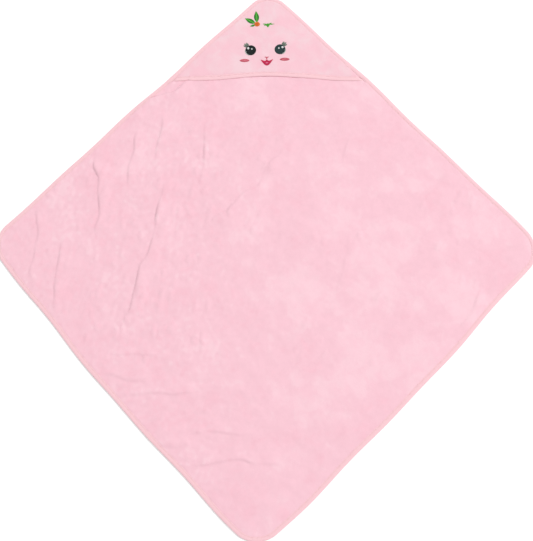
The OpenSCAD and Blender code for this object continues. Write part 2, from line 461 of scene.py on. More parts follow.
def towel_top(x, y):
    rim = TAPE_THICKNESS + TOWEL_RIM
    behind = behind_front(x, y)
    under_hood = smooth_step(behind, 6 * MM, 25 * MM)
    full = TOWEL_THICKNESS - 0.3 * MM + pile_clumps(x, y) * (1 - 0.6 * under_hood) - parting(x, y)
    pressed = HOOD_PRESS * smooth_step(behind, -1 * MM, 6 * MM) + BACKING_PRESS * under_hood
    # the pile bunches up where the edge tape rises on to the hood
    beside_tape = 1 - smooth_step(inset(x, y), TAPE_WIDTH, TAPE_WIDTH + 12 * MM)
    bunched = 0.8 * MM * beside_tape * np.exp(-(((behind + 6 * MM) / (6 * MM)) ** 2))
    return rim + (full + bunched - pressed - rim) * pile_swell(x, y)


def hood_under(x, y):
    """The hood's lower face: on the towel at its legs, and loose at the middle of its front."""
    depth = (SHARP_CORNER - y) / (SHARP_CORNER - HOOD_FRONT_MID)
    rim = TAPE_THICKNESS + TOWEL_RIM
    on_towel = rim + (TOWEL_THICKNESS - HOOD_PRESS - rim) * pile_swell(x, y)
    return on_towel + HOOD_REST_LOFT * depth * arch(x, y)


def clear_of_edge(x, y):
    """0 under the edge tape, and 1 a little way inside it."""
    return smooth_step(inset(x, y), TAPE_WIDTH - 2 * MM, TAPE_WIDTH + 5 * MM)


def hood_tape_height(x, y):
    """The height of the hood's tape, which is pressed flat where it is under the edge tape."""
    return HOOD_TAPE_PRESSED + (HOOD_TAPE_HEIGHT - HOOD_TAPE_PRESSED) * clear_of_edge(x, y)


def hood_full(x, y):
    """How much of its full thickness the hood has: it is thin under both tapes."""
    front = smooth_step(behind_front(x, y), TAPE_WIDTH - 1 * MM, TAPE_WIDTH + 3 * MM)
    return np.minimum(pile_swell(x, y), front)


def hood_top(x, y):
    soft = 0.12 * MM * waves(x, y, 30 * MM, 21)
    on_lip = (1 - smooth_step(behind_front(x, y), 0, 60 * MM)) * clear_of_edge(x, y)
    thin = HOOD_RIM + TAPE_THICKNESS * on_lip
    return hood_under(x, y) + thin + (HOOD_THICKNESS + soft - thin) * hood_full(x, y)


# ---- meshes ----


def add_object(name, data):
    """A new object in the scene."""
    item = bpy.data.objects.new(name, data)
    bpy.context.scene.collection.objects.link(item)
    return item


def make_piece(name, verts, faces, material, node):
    """A smooth piece that takes the place of a CAD node."""
    mesh = bpy.data.meshes.new(name)
    mesh.from_pydata(np.asarray(verts).tolist(), [], [list(f) for f in faces])
    mesh.validate()
    shell = bmesh.new()
    shell.from_mesh(mesh)
    bmesh.ops.recalc_face_normals(shell, faces=shell.faces)
    shell.to_mesh(mesh)
    shell.free()
    mesh.shade_smooth()
    mesh.materials.append(material)
    piece = add_object(name, mesh)
    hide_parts(node)
    return piece


def towel_piece(name, points, faces, material, slot, node):
    """A piece that stays on the towel, from its points in cut coordinates."""
    piece = make_piece(name, lay(points), faces, material, node)
    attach(piece, "towel")
    return piece


def hood_piece(name, points, faces, material, slot, node):
    """A piece of the hood, laid with the hood's slack front edge, its placement baked into its points.
    """
    piece = make_piece(name, lay_hood(points), faces, material, node)
    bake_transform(piece)
    return piece


def grid_faces(rows, columns, offset=0, wrap=False, flip=False):
    """The quads of a grid of rows by columns points; wrap closes each row into a ring."""
    last = columns if wrap else columns - 1
    i, j = np.meshgrid(np.arange(rows - 1), np.arange(last), indexing="ij")
    k = (j + 1) % columns
    quads = np.stack(
        [i * columns + j, i * columns + k, (i + 1) * columns + k, (i + 1) * columns + j], axis=-1
    ).reshape(-1, 4) + offset
    return (quads[:, ::-1] if flip else quads).tolist()


def grid_rim(rows, columns):
    """The points round a grid's rim: row 0, the last column, the last row back, column 0 up."""
    row, column = np.arange(columns), np.arange(rows) * columns
    last_row = rows * columns - 1 - row[:-1]
    return np.concatenate([row[:-1], column[:-1] + columns - 1, last_row, column[:0:-1]])


def closed_sheet(rows, columns):
    """The faces of two like grids, the second under the first, joined round their rims."""
    size = rows * columns
    rim = grid_rim(rows, columns)
    sides = [(b, a, a + size, b + size) for a, b in zip(rim, np.roll(rim, -1))]
    return grid_faces(rows, columns) + grid_faces(rows, columns, size, flip=True) + sides


def cloth_ticks(count, margin):
    """Grid lines from -1 to 1 across the cloth, closer together along the tape's inner edge."""
    reach = SIDE / 2 - margin
    beside_tape = SIDE / 2 - np.array([16, 14.2, 13, 12, 11, 10, 9, 5]) * MM
    middle = np.linspace(0, beside_tape[0], count // 2 + 1 - len(beside_tape), endpoint=False)
    half = np.concatenate([middle, beside_tape, [reach]]) / reach
    return np.concatenate([-half[:0:-1], half])


def rounded_square_grid(ticks, margin):
    """Points of a grid whose rings grow rounder towards the towel's edge."""
    a, b = np.meshgrid(ticks, ticks, indexing="ij")
    ring = np.maximum(np.abs(a), np.abs(b))
    half = (SIDE / 2 - margin) * ring
    radius = (CORNER_RADIUS - margin) * ring**4
    reach = SIDE / 2 - margin
    qu, qv = np.abs(a) * reach, np.abs(b) * reach
    corner = np.maximum(half - radius, 0)
    travel = np.clip(np.where(qu >= qv, qv - corner, 2 * radius - (qu - corner)), 0, None)
    inside = (np.minimum(qu, qv) > corner) & (radius > 1e-6)
    angle = travel / np.maximum(2 * radius, 1e-9) * math.pi / 2
    ru = np.where(inside, corner + radius * np.cos(angle), qu)
    rv = np.where(inside, corner + radius * np.sin(angle), qv)
    return from_square(np.sign(a) * ru, np.sign(b) * rv)


def make_towel_cloth(material):
    """The square of terry: a fine upper face and a coarser under face, joined at the rim."""
    margin = TAPE_THICKNESS + 0.3 * MM
    ticks = cloth_ticks(281, margin)
    fine, coarse = len(ticks), len(ticks[::2])
    x, y = gather_to_creases(*(c.ravel() for c in rounded_square_grid(ticks, margin)))
    top = np.stack([x, y, towel_top(x, y)], 1)
    brushed = brushed_pile_and_light(x, y)
    x, y = (c.ravel() for c in rounded_square_grid(ticks[::2], margin))
    under = np.stack([x, y, towel_under(x, y)], 1)
    faces = grid_faces(fine, fine)
    start = fine * fine
    faces += grid_faces(coarse, coarse, start, flip=True)
    upper, lower = grid_rim(fine, fine), grid_rim(coarse, coarse) + start
    for i, corner in enumerate(lower):
        after = lower[(i + 1) % len(lower)]
        first, middle, last = (upper[(2 * i + k) % len(upper)] for k in range(3))
        faces += [(middle, first, corner), (after, last, middle), (corner, after, middle)]
    points = np.vstack([top, under])
    piece = towel_piece("terry_cloth", points, faces, material, "towel_terry", "towel_panel")
    # the brushed attribute holds the paler brushed-up pile together with painted light, brighter
    # towards the right
    nap_and_light = piece.data.attributes.new("brushed", "FLOAT", "POINT")
    nap_and_light.data.foreach_set("value", np.concatenate([brushed, 0 * x]).astype(np.float32))
    return piece


def make_hood_cloth(material):
    """The triangle of the hood, from its rounded tip to its bowed front edge."""
    rows, columns = 96, 150
    margin = TAPE_THICKNESS + 0.3 * MM
    tip = TIP_DISTANCE - margin
    # the columns are closer together beside both legs
    bend = 0.49 * math.pi
    across = np.sin(np.linspace(-bend, bend, columns)) / math.sin(bend)
    rounding = CORNER_RADIUS - margin
    tip_centre = tip - rounding
    first_row, last_row = tip - 0.4 * MM, SHARP_CORNER - HOOD_DEPTH + margin
    flat = []
    for t in np.linspace(0, 1, rows) ** 1.15:
        y = first_row - t * (first_row - last_row)
        on_leg = SHARP_CORNER - y - margin / ROOT_HALF
        above = max(y - tip_centre, 0)
        on_tip = math.sqrt(max(rounding**2 - above**2, 0))
        half = on_tip if above > rounding * ROOT_HALF else on_leg
        x = across * half
        bow = np.sqrt((HOOD_FRONT_RADIUS + margin) ** 2 - x**2) - HOOD_FRONT_RADIUS
        bowed = y + (HOOD_FRONT_MID + bow - last_row) * t**3
        x = np.sign(x) * np.minimum(np.abs(x), SHARP_CORNER - bowed - margin / ROOT_HALF)
        flat.append(np.stack([x, bowed], 1))
    flat = np.vstack(flat)
    x, y = flat[:, 0], flat[:, 1]
    on_lip = 1 - smooth_step(behind_front(x, y), TAPE_WIDTH, TAPE_WIDTH + 5 * MM)
    lip = TAPE_THICKNESS * on_lip * clear_of_edge(x, y)
    top = np.stack([x, y, hood_top(x, y)], 1)
    under = np.stack([x, y, hood_under(x, y) + lip], 1)
    points = np.vstack([top, under])
    faces = closed_sheet(rows, columns)
    return hood_piece("hood_cloth", points, faces, material, "hood_velour", "hood_panel")


# ---- the folded tapes ----


def edge_loop(spacing):
    """Evenly spaced points round the towel's outline, with the way inwards at each."""
    straight = SIDE - 2 * CORNER_RADIUS
    quarter = CORNER_RADIUS * math.pi / 2
    length = 4 * (straight + quarter)
    count = int(round(length / spacing))
    s = np.arange(count) * length / count
    leg, rest = np.divmod(s, straight + quarter)
    turn = np.clip(rest - straight, 0, None) / CORNER_RADIUS
    along = np.minimum(rest, straight) - straight / 2
    # leg 0 runs along the side u = +SIDE/2, towards the hood's corner
    u = straight / 2 + CORNER_RADIUS * np.cos(turn)
    v = along + CORNER_RADIUS * np.sin(turn)
    angle = leg * math.pi / 2
    pu, pv = u * np.cos(angle) - v * np.sin(angle), u * np.sin(angle) + v * np.cos(angle)
    nu, nv = -np.cos(turn + angle), -np.sin(turn + angle)
    return np.stack(from_square(pu, pv), 1), np.stack(from_square(nu, nv), 1), s


def front_line(spacing, margin=0.0):
    """Evenly spaced points along the hood's front edge, with the way inwards at each."""
    reach = math.asin((HOOD_DEPTH - margin) / HOOD_FRONT_RADIUS)
    count = int(round(2 * reach * HOOD_FRONT_RADIUS / spacing)) + 1
    angle = np.linspace(-reach, reach, count)
    inwards = np.stack([np.sin(angle), np.cos(angle)], 1)
    centre = np.array([0, HOOD_FRONT_MID - HOOD_FRONT_RADIUS])
    return centre + inwards * HOOD_FRONT_RADIUS, inwards, angle * HOOD_FRONT_RADIUS


def tape_section(thickness):
    """The folded tape's cross-section, as (inset, height) in metres; thickness is an array."""
    t, lip = thickness, np.minimum(TAPE_THICKNESS, 0.45 * thickness)
    zero = np.zeros_like(t)
    outer = [
        (10.7, zero), (9.3, zero), (8.5, zero + 0.18 * MM), (7.7, zero), (5.0, zero),
        (2.6, zero + 0.04 * MM), (1.2, 0.10 * t), (0.35, 0.26 * t), (0.0, 0.5 * t),
        (0.35, 0.74 * t), (1.2, 0.90 * t), (2.6, t - 0.04 * MM), (5.0, t + 0.06 * MM),
        (7.7, t), (8.5, t - 0.26 * MM), (9.3, t - 0.02 * MM), (10.7, t - 0.06 * MM),
    ]
    inner = [
        (11.1, t - lip / 2), (10.7, t - lip), (2.2, t - lip), (1.1, t / 2),
        (2.2, zero + lip), (10.7, zero + lip), (11.1, zero + lip / 2),
    ]
    return [(d * MM, z) for d, z in outer + inner]


def tape_mesh(points, inwards, s, thickness, floor_height, closed, seed):
    """Sweeps the section along a line; the stitched upper face puckers a little."""
    rings = []
    pucker = 0.12 * MM * waves(s, 0 * s, 9 * MM, seed)
    pucker += 0.07 * MM * np.cos(2 * math.pi * s / STITCH_PITCH)
    wander = 0.25 * MM * waves(s, 0 * s, 40 * MM, seed + 1)
    for d, z in tape_section(thickness):
        free = smooth_step(np.full_like(s, d), 2 * MM, 10 * MM)
        upper = smooth_step(z / thickness, 0.5, 0.9)
        xy = points + inwards * (d + wander * free)[:, None]
        h = floor_height(xy[:, 0], xy[:, 1]) + z + pucker * free * upper
        rings.append(np.column_stack([xy, h]))
    verts = np.stack(rings, axis=1)
    count, around = verts.shape[:2]
    verts = verts.reshape(-1, 3)
    faces = grid_faces(count, around, wrap=True, flip=True)
    if closed:
        last = (count - 1) * around
        for j in range(around):
            k = (j + 1) % around
            faces.append((last + j, last + k, k, j))
    else:
        faces.append(list(range(around)))
        faces.append([(count - 1) * around + j for j in range(around)][::-1])
    return verts, faces


def edge_thickness(x, y, s):
    """The edge tape is thicker where it also holds the hood and the hood's tape, and where its
    own two ends overlap."""
    towel = TAPE_THICKNESS * 2 + TOWEL_RIM
    behind = behind_front(x, y)
    on_hood = smooth_step(behind, -9 * MM, -1 * MM)
    on_hood_tape = np.exp(-(((behind - TAPE_WIDTH / 2) / (8 * MM)) ** 2))
    join = 0.62 * SIDE
    overlap = smooth_step(s, join, join + 1.5 * MM) * smooth_step(-s, -join - 16 * MM, -join - 13 * MM)
    return towel + HOOD_RIM * on_hood + 0.35 * MM * on_hood_tape + 0.55 * MM * overlap


def make_edge_tape(material):
    points, inwards, s = edge_loop(1.9 * MM)
    thickness = edge_thickness(*(points + inwards * STITCH_INSET).T, s)
    verts, faces = tape_mesh(points, inwards, s, thickness, lambda x, y: 0 * x, True, 31)
    return towel_piece("edge_tape", verts, faces, material, "binding_tape", "edge_binding")


def make_hood_tape(material):
    points, inwards, s = front_line(1.6 * MM, 4 * MM)
    # both ends are cut along the towel's sides, to fit inside the edge tape
    slant = smooth_step(np.abs(points[:, 0]), 150 * MM, 215 * MM)
    inwards[:, 0] -= slant * (inwards[:, 0] + np.sign(points[:, 0]) * inwards[:, 1])
    thickness = hood_tape_height(*points.T)
    verts, faces = tape_mesh(points, inwards, s, thickness, hood_under, False, 41)
    return hood_piece("hood_tape", verts, faces, material, "binding_tape", "hood_binding")


# ---- stitches ----


def threads(starts, ends, base_start, base_end, radius, rise, sides=6, rings=5):
    """Short arched threads in cut coordinates, each diving into the cloth at both ends."""
    starts, ends = np.asarray(starts, float), np.asarray(ends, float)
    count = len(starts)
    way = ends - starts
    length = np.linalg.norm(way, axis=1, keepdims=True)
    way = way / np.maximum(length, 1e-9)
    across = np.stack([-way[:, 1], way[:, 0]], 1)
    verts = []
    for t in np.linspace(0, 1, rings):
        hump = math.sqrt(max(1 - (2 * t - 1) ** 4, 0))
        centre = starts + (ends - starts) * t
        h = np.zeros(count) + base_start + (base_end - base_start) * t + rise * hump
        size = radius * (0.45 + 0.55 * hump)
        for k in range(sides):
            angle = 2 * math.pi * k / sides
            xy = centre + across * (size * math.cos(angle))
            verts.append(np.column_stack([xy, h + size * math.sin(angle)]))
    verts = np.stack(verts, axis=1).reshape(-1, 3)
    one = grid_faces(rings, sides, wrap=True, flip=True)
    one.append(list(range(sides)))
    one.append([(rings - 1) * sides + k for k in range(sides)][::-1])
    step = rings * sides
    faces = [[v + i * step for v in f] for i in range(count) for f in one]
    return verts, faces


def seam(points, inwards, height, rise, closed):
    """A row of lock stitches along a line of points one pitch apart."""
    line = points + inwards * STITCH_INSET
    starts = line if closed else line[:-1]
    ends = np.roll(line, -1, axis=0) if closed else line[1:]
    gap = 0.1
    first = starts + (ends - starts) * gap
    second = ends - (ends - starts) * gap
    base_first = height(first[:, 0], first[:, 1])
    base_second = height(second[:, 0], second[:, 1])
    return threads(first, second, base_first, base_second, 0.26 * MM, rise)


def make_seams(material):
    """The four rows of stitches: needle and bobbin thread of both tapes."""
    points, inwards, _ = edge_loop(STITCH_PITCH)
    front, front_in, _ = front_line(STITCH_PITCH, 28 * MM)

    def edge_top(x, y):
        return edge_thickness(x, y, 0 * x) - 0.22 * MM

    def hood_tape_top(x, y):
        return hood_under(x, y) + hood_tape_height(x, y) - 0.2 * MM

    rows = [
        ("edge_top_stitches", "edge_needle_thread", points, inwards, edge_top, 0.18 * MM, True),
        ("edge_under_stitches", "edge_bobbin_thread", points, inwards,
         lambda x, y: 0.32 * MM + 0 * x, -0.06 * MM, True),
        ("hood_top_stitches", "hood_needle_thread", front, front_in, hood_tape_top, 0.18 * MM, False),
        ("hood_under_stitches", "hood_bobbin_thread", front, front_in,
         lambda x, y: hood_under(x, y) + 0.1 * MM, -0.1 * MM, False),
    ]
    pieces = []
    for name, node, line, way_in, height, rise, closed in rows:
        verts, faces = seam(line, way_in, height, rise, closed)
        make = towel_piece if closed else hood_piece
        pieces.append(make(name, verts, faces, material, "sewing_thread", node))
    return pieces


# ---- embroidery ----

# The embroidery is turned this many degrees about the face's middle, and raised towards the
# hood's tip, or lowered where this is negative
EMBROIDERY_TILT = 2.2
EMBROIDERY_RAISED = -0.3 * MM
FACE_CENTRE = (-6 * MM, 462 * MM)
# How far the leaves and the cheeks lie from their places in the CAD
LEAVES_SHIFT = np.array([3 * MM, -0.5 * MM])
CHEEKS_SHIFT = -2.2 * MM
# Satin stitch: its rows are this far apart, and its thread this thick and this high
SATIN_PITCH = 0.42 * MM
SATIN_RADIUS = 0.24 * MM
SATIN_RISE = 0.42 * MM
# The lashes of an eye: how far each points above level, in degrees, and its length
LASHES = [(42, 9 * MM), (55, 11 * MM), (68, 10 * MM)]


def ring_shape(points, steps=8):
    """A smooth closed outline through a few points."""
    return smooth_curve([points[-1], *points, points[0], points[1]], steps)


def disc(diameter, squash=1.0, steps=48):
    angle = np.linspace(0, 2 * math.pi, steps, endpoint=False)
    return np.stack([np.cos(angle), np.sin(angle) * squash], 1) * diameter / 2


def leaf(length, width, steps=16):
    """A leaf with its base at the origin and its tip on +x."""
    t = np.linspace(0, 1, steps)
    half = width / 2 * np.sin(math.pi * t**0.85)
    upper = np.stack([t * length, half], 1)
    lower = np.stack([t * length, -half], 1)[::-1]
    return np.vstack([upper[:-1], lower[:-1]])


def turned(outline, degrees, x=0.0, y=0.0):
    a = math.radians(degrees)
    turn = np.array([[math.cos(a), math.sin(a)], [-math.sin(a), math.cos(a)]])
    return np.asarray(outline) @ turn + np.array([x, y])


def fill_lines(outline, degrees, pitch, longest):
    """Parallel threads that fill an outline, long ones broken in a brick pattern."""
    flat = turned(outline, -degrees)
    after = np.roll(flat, -1, axis=0)
    low, high = flat[:, 1].min(), flat[:, 1].max()
    rows = max(2, int((high - low) / pitch))
    segments = []
    for row, y in enumerate(np.linspace(low + pitch / 3, high - pitch / 3, rows)):
        crossing = (flat[:, 1] <= y) != (after[:, 1] <= y)
        a, b = flat[crossing], after[crossing]
        xs = np.sort(a[:, 0] + (b[:, 0] - a[:, 0]) * (y - a[:, 1]) / (b[:, 1] - a[:, 1]))
        for left, right in zip(xs[::2], xs[1::2]):
            if right - left < 0.3 * MM:
                continue
            cuts = [left]
            if right - left > longest * 1.5:
                offset = (row % 3) / 3 * longest
                cuts += [c for c in np.arange(left - offset, right, longest)
                         if left + 0.3 * longest < c < right - 0.3 * longest]
            cuts.append(right)
            segments += [((p, y), (q, y)) for p, q in zip(cuts[:-1], cuts[1:])]
    segments = np.array(segments)
    return turned(segments[:, 0], degrees), turned(segments[:, 1], degrees)


def pad_mesh(outline, middle, base):
    """The low dome of underlay that the satin threads lie on, closed underneath."""
    levels = [(0.97, -0.1), (0.97, 0.12), (0.8, 0.3), (0.45, 0.38)]
    outline = np.asarray(outline) - middle
    rings = [
        np.column_stack([outline * scale + middle, np.full(len(outline), base + h * MM)])
        for scale, h in levels
    ]
    count = len(outline)
    verts = np.vstack([*rings, [[*middle, base + 0.4 * MM]], [[*middle, base - 0.1 * MM]]])
    faces = grid_faces(len(levels), count, wrap=True)
    top, bottom = len(verts) - 2, len(verts) - 1
    last = (len(levels) - 1) * count
    for j in range(count):
        k = (j + 1) % count
        faces.append((last + j, last + k, top))
        faces.append((k, j, bottom))
    return verts, faces


def embroider(name, node, patches, looks, thread, tone=None):
    """Patches of satin stitch on the hood: each is (outline, degrees, base, longest).

    thread is the material's name in looks; tone(x, y) says where it is the lighter of its two
    shades.
    """
    all_verts, all_faces = [], []
    for outline, degrees, base, longest in patches:
        outline = tilted(outline)
        degrees += EMBROIDERY_TILT
        verts, faces = pad_mesh(outline, outline.mean(0), base)
        starts, ends = fill_lines(outline, degrees, SATIN_PITCH, longest)
        low = base + 0.05 * MM
        lines, line_faces = threads(starts, ends, low, low, SATIN_RADIUS, SATIN_RISE)
        for v, f in ((verts, faces), (lines, line_faces)):
            offset = sum(len(a) for a in all_verts)
            all_verts.append(v)
            all_faces += [[i + offset for i in face] for face in f]
    flat = np.vstack(all_verts)
    light = np.zeros(len(flat)) if tone is None else tone(*tilted(flat[:, :2], -1).T)
    flat[:, 2] += hood_top(flat[:, 0], flat[:, 1]) - 0.05 * MM
    piece = hood_piece(name, flat, all_faces, looks[thread], thread, node)
    shade = piece.data.attributes.new("tone", "FLOAT", "POINT")
    shade.data.foreach_set("value", np.clip(light, 0, 1).astype(np.float32))
    return piece


def tilted(points, way=1):
    """Moves the embroidery a little and turns it about the face's middle, or back for -1."""
    centre = np.array(FACE_CENTRE)
    raised = centre + np.array([0, EMBROIDERY_RAISED])
    start, end = (centre, raised) if way > 0 else (raised, centre)
    return turned(np.asarray(points) - start, EMBROIDERY_TILT * way) + end


def middle_of(node):
    low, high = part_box(node)
    return (low[0] + high[0]) / 2, (low[1] + high[1]) / 2


def size_of(node):
    low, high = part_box(node)
    return high[0] - low[0], high[1] - low[1]


def crescent(radius, width, start, end, steps=14):
    """A thin crescent on the outside of a circle, from one angle to another."""
    angle = np.radians(np.linspace(start, end, steps))
    full = np.sin(np.linspace(0, math.pi, steps))
    way = np.stack([np.cos(angle), np.sin(angle)], 1)
    outer = way * (radius + width * full)[:, None]
    return np.vstack([outer, (way * radius)[-2:0:-1]])


def make_eye(side, name, looks):
    """One eye with its sparkles and lashes; side is -1 on the left and 1 on the right."""
    eye_x, eye_y = middle_of(name + "_eye")
    eye_x -= side * 0.9 * MM
    radius = size_of(name + "_eye")[0] / 2 * 1.03
    eye = turned(disc(2 * radius), 0, eye_x, eye_y)
    spots = [
        (disc(5.4 * MM, steps=24), side * 6 * MM, 5 * MM, 0.55 * MM),
        (disc(3.6 * MM, steps=20), side * -2.8 * MM, 2.8 * MM, 0.55 * MM),
        (crescent(radius + 0.2 * MM, 1.3 * MM, -90 + side * 5, -90 + side * 110), 0, 0, 0),
    ]
    sparkles = [
        (turned(shape, 0, eye_x + dx, eye_y + dy), 0, base, 9 * MM) for shape, dx, dy, base in spots
    ]
    lashes = []
    for degrees, length in LASHES:
        turn = degrees if side > 0 else 180 - degrees
        start_x = eye_x + (radius - 0.5 * MM) * math.cos(math.radians(turn))
        start_y = eye_y + (radius - 0.5 * MM) * math.sin(math.radians(turn))
        bar = disc(length, 0.45, 24) + (length / 2, 0)
        lashes.append((turned(bar, turn - side * 14, start_x, start_y), turn + 70, 0, 9 * MM))
    cheek_x, cheek_y = middle_of(name + "_cheek")
    cheek_x += CHEEKS_SHIFT
    width, height = size_of(name + "_cheek")
    cheek = turned(disc(width, height / width), 0, cheek_x, cheek_y)

    def cheek_tone(x, y):
        return 1 - ((x - cheek_x) / width * 2.6) ** 2 - ((y - cheek_y) / height * 4) ** 2

    return [
        embroider(name + "_eye_satin", name + "_eye", [(eye, 90 - side * 12, 0, 5 * MM)],
                  looks, "eye_thread", lambda x, y: 0.1 + 0.7 * (x > 0) + 0 * y),
        embroider(name + "_eye_sparkle", name + "_eye_highlights", sparkles,
                  looks, "highlight_thread",
                  lambda x, y: 1.0 * (np.hypot(x - eye_x, y - eye_y) < radius)),
        embroider(name + "_lash_satin", name + "_lashes", lashes, looks, "lash_thread",
                  lambda x, y: (np.hypot(x - eye_x, y - eye_y) - radius - 2 * MM) / (8 * MM)),
        embroider(name + "_cheek_satin", name + "_cheek", [(cheek, 90 + side * 15, 0, 9 * MM)],
                  looks, "cheek_thread", cheek_tone),
    ]


# The outlines of nose and smile, in half widths about their middles
NOSE = [
    (-1, 0.42), (-0.55, 0.55), (0, 0.45), (0.55, 0.55), (1, 0.42), (0.62, 0.1),
    (0.26, -0.05), (0.18, -0.8), (-0.18, -0.8), (-0.26, -0.05), (-0.62, 0.1),
]
SMILE = [
    (-1, 0.5), (-0.66, 0.34), (-0.36, 0.26), (-0.14, 0.38), (0, 0.5), (0.14, 0.38),
    (0.36, 0.26), (0.66, 0.34), (1, 0.5), (0.74, 0.02), (0.5, -0.3), (0.24, -0.54),
    (0, -0.6), (-0.24, -0.54), (-0.5, -0.3), (-0.74, 0.02),
]


def make_nose_and_mouth(looks):
    """A small nose above an open smile with a tongue."""
    nose = ring_shape(np.array(NOSE) * size_of("nose")[0] / 2) + middle_of("nose")
    smile = ring_shape(np.array(SMILE) * size_of("mouth")[0] / 2) + middle_of("mouth")
    tongue = disc(size_of("tongue")[0] * 0.55, 0.6, 32) + middle_of("tongue")
    return [
        embroider("nose_satin", "nose", [(nose, 90, 0, 9 * MM)], looks, "cheek_thread"),
        embroider("mouth_satin", "mouth", [(smile, 90, 0, 6 * MM)], looks, "mouth_thread"),
        embroider("tongue_satin", "tongue", [(tongue, 90, 0.5 * MM, 9 * MM)],
                  looks, "tongue_thread"),
    ]


# The three leaves: node, the way each points, its length and its width
LEAVES = [
    ("upper_leaf", 93, 31 * MM, 12.5 * MM),
    ("side_leaf", 150, 29 * MM, 11.5 * MM),
    ("lower_leaf", 196, 13 * MM, 5.5 * MM),
]
# The sprig's wings: the way each points, its length and its width
WINGS = [
    (170, 11 * MM, 3.4 * MM),
    (198, 9 * MM, 2.6 * MM),
    (24, 9 * MM, 3.4 * MM),
    (2, 15 * MM, 2.8 * MM),
]
# The sprig's bud, in millimetres about its middle
BUD = [(-4.6, 1), (0, 4), (4.6, 1), (3.2, -2.8), (0, -6.4), (-3.2, -2.8)]


def make_leaves(looks):
    """Three leaves round a berry, and a small sprig beside it."""
    berry_x, berry_y = middle_of("berry") + LEAVES_SHIFT
    radius = size_of("berry")[0] / 2 * 1.08
    pieces = []
    for node, turn, length, width in LEAVES:
        way = np.array([math.cos(math.radians(turn)), math.sin(math.radians(turn))])
        base = np.array([berry_x, berry_y]) + way * radius * 0.7
        shape = leaf(length, width)
        halves = (shape[shape[:, 1] > -1e-9], shape[shape[:, 1] < 1e-9])
        patches = [
            (turned(half, turn, *base), turn + slant, 0, 9 * MM)
            for half, slant in zip(halves, (50, -50))
        ]

        def vein(x, y):
            off = (x - base[0]) * way[1] - (y - base[1]) * way[0]
            return 1.1 - (off / (width * 0.2)) ** 2

        pieces.append(embroider(node + "_satin", node, patches, looks, "leaf_thread", vein))
    berry = turned(disc(2 * radius, 0.88), 0, berry_x, berry_y)
    pieces.append(embroider(
        "berry_satin", "berry", [(berry, 40, 0.1 * MM, 12 * MM)], looks, "berry_thread",
        lambda x, y: np.hypot(x - berry_x, y - berry_y) / radius * 1.6 - 0.5,
    ))
    sprig_x, sprig_y = middle_of("sprig") + LEAVES_SHIFT
    patches = [(ring_shape(np.array(BUD) * MM, 4) + (sprig_x, sprig_y), 0, 0.05 * MM, 9 * MM)]
    for turn, length, width in WINGS:
        side = 1 if turn < 90 else -1
        wing = turned(leaf(length, width), turn, sprig_x + side * 1.5 * MM, sprig_y + 1.2 * MM)
        patches.append((wing, turn + 60, 0, 9 * MM))
    pieces.append(embroider(
        "sprig_satin", "sprig", patches, looks, "leaf_thread", lambda x, y: 0.7 + 0 * x
    ))
    return pieces


def make_stabiliser(material):
    """The square of non-woven behind the embroidery, against the hood's under face."""
    centre_x, centre_y = middle_of("embroidery_backing")
    half = size_of("embroidery_backing")[0] / 2
    count = 60
    ticks = np.linspace(-1, 1, count)
    a, b = np.meshgrid(ticks, ticks, indexing="ij")
    rounding = 1 - 0.06 * (a * b) ** 4
    x, y = (centre_x + a * rounding * half).ravel(), (centre_y + b * rounding * half).ravel()
    above = hood_under(x, y)
    points = np.vstack([
        np.column_stack([x, y, above - 0.05 * MM]),
        np.column_stack([x, y, above - 0.3 * MM]),
    ])
    faces = closed_sheet(count, count)
    return hood_piece("stabiliser", points, faces, material, "backing_fleece", "embroidery_backing")


# ---- materials ----

# How bright a white level surface is in the studio, where 1 is the brightest shown
STUDIO_LIGHT = 1.18


def add(tree, kind, links=None, **settings):
    """A shader node; links gives a value or another node's output for each named input."""
    node = tree.nodes.new(kind)
    for key, value in settings.items():
        setattr(node, key, value)
    for key, value in (links or {}).items():
        if isinstance(value, bpy.types.NodeSocket):
            tree.links.new(value, node.inputs[key])
        else:
            node.inputs[key].default_value = value
    return node


def linear(red, green, blue):
    """A colour given as it shows in the studio's light, 0 to 255, as a shader's base colour."""
    parts = [c / 255 for c in (red, green, blue)]
    parts = [c / 12.92 if c <= 0.04045 else ((c + 0.055) / 1.055) ** 2.4 for c in parts]
    return (*[c / STUDIO_LIGHT for c in parts], 1.0)


def grey(level):
    return (level, level, level, 1)


def start_material(name, roughness, sheen, sheen_roughness=0.5):
    material = bpy.data.materials.new(name)
    material.use_nodes = True
    tree = material.node_tree
    shader = tree.nodes["Principled BSDF"]
    shader.inputs["Roughness"].default_value = roughness
    shader.inputs["Sheen Weight"].default_value = sheen
    shader.inputs["Sheen Roughness"].default_value = sheen_roughness
    shader.inputs["Specular IOR Level"].default_value = 0.2
    place = add(tree, "ShaderNodeTexCoord").outputs["Object"]
    return material, tree, shader, place


def noise(tree, place, scale, detail=3.0, roughness=0.55, distortion=0.0):
    return add(tree, "ShaderNodeTexNoise", {
        "Vector": place, "Scale": scale, "Detail": detail,
        "Roughness": roughness, "Distortion": distortion,
    }).outputs["Fac"]


def ramp(tree, value, low, high):
    return add(tree, "ShaderNodeMapRange", {
        "Value": value, "From Min": low, "From Max": high,
    }, interpolation_type="SMOOTHSTEP").outputs["Result"]


def mix_colour(tree, factor, first, second, blend_type="MIX"):
    node = tree.nodes.new("ShaderNodeMix")
    node.data_type = "RGBA"
    node.blend_type = blend_type
    for index, value in ((0, factor), (6, first), (7, second)):
        if isinstance(value, bpy.types.NodeSocket):
            tree.links.new(value, node.inputs[index])
        else:
            node.inputs[index].default_value = value
    return node.outputs[2]


def maths(tree, operation, first, second):
    return add(tree, "ShaderNodeMath", {0: first, 1: second}, operation=operation).outputs[0]


def finish_material(tree, shader, colour, height, distance, strength):
    """Sets the colour, and the fine relief that the height gives."""
    tree.links.new(colour, shader.inputs["Base Color"])
    relief = {"Height": height, "Distance": distance, "Strength": strength}
    node = add(tree, "ShaderNodeBump", relief)
    tree.links.new(node.outputs["Normal"], shader.inputs["Normal"])


